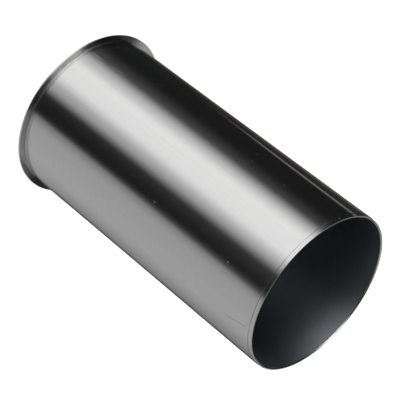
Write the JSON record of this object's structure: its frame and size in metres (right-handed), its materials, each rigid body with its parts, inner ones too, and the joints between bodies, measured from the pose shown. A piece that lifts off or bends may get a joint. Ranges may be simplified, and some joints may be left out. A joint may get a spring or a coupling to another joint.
{
  "type": "dry cylinder liner",
  "caption": "Thin-walled steel dry cylinder liner with a honed through bore, a narrow flange at the fire end and a tapered lead-in at the skirt end.",
  "frame": {"origin": "centre of the fire face, the flange's end face, which the liner stands on", "axes": "+Z along the cylinder axis from the flange to the skirt end; X and Y are free, because the liner is round"},
  "size_m": [0.1124, 0.1124, 0.204],
  "materials": {
    "ground_steel": "fine ground, near mirror, with a honed bore"
  },
  "bodies": {
    "root": {"cylinder_liner": "ground_steel"}
  },
  "joints": []
}
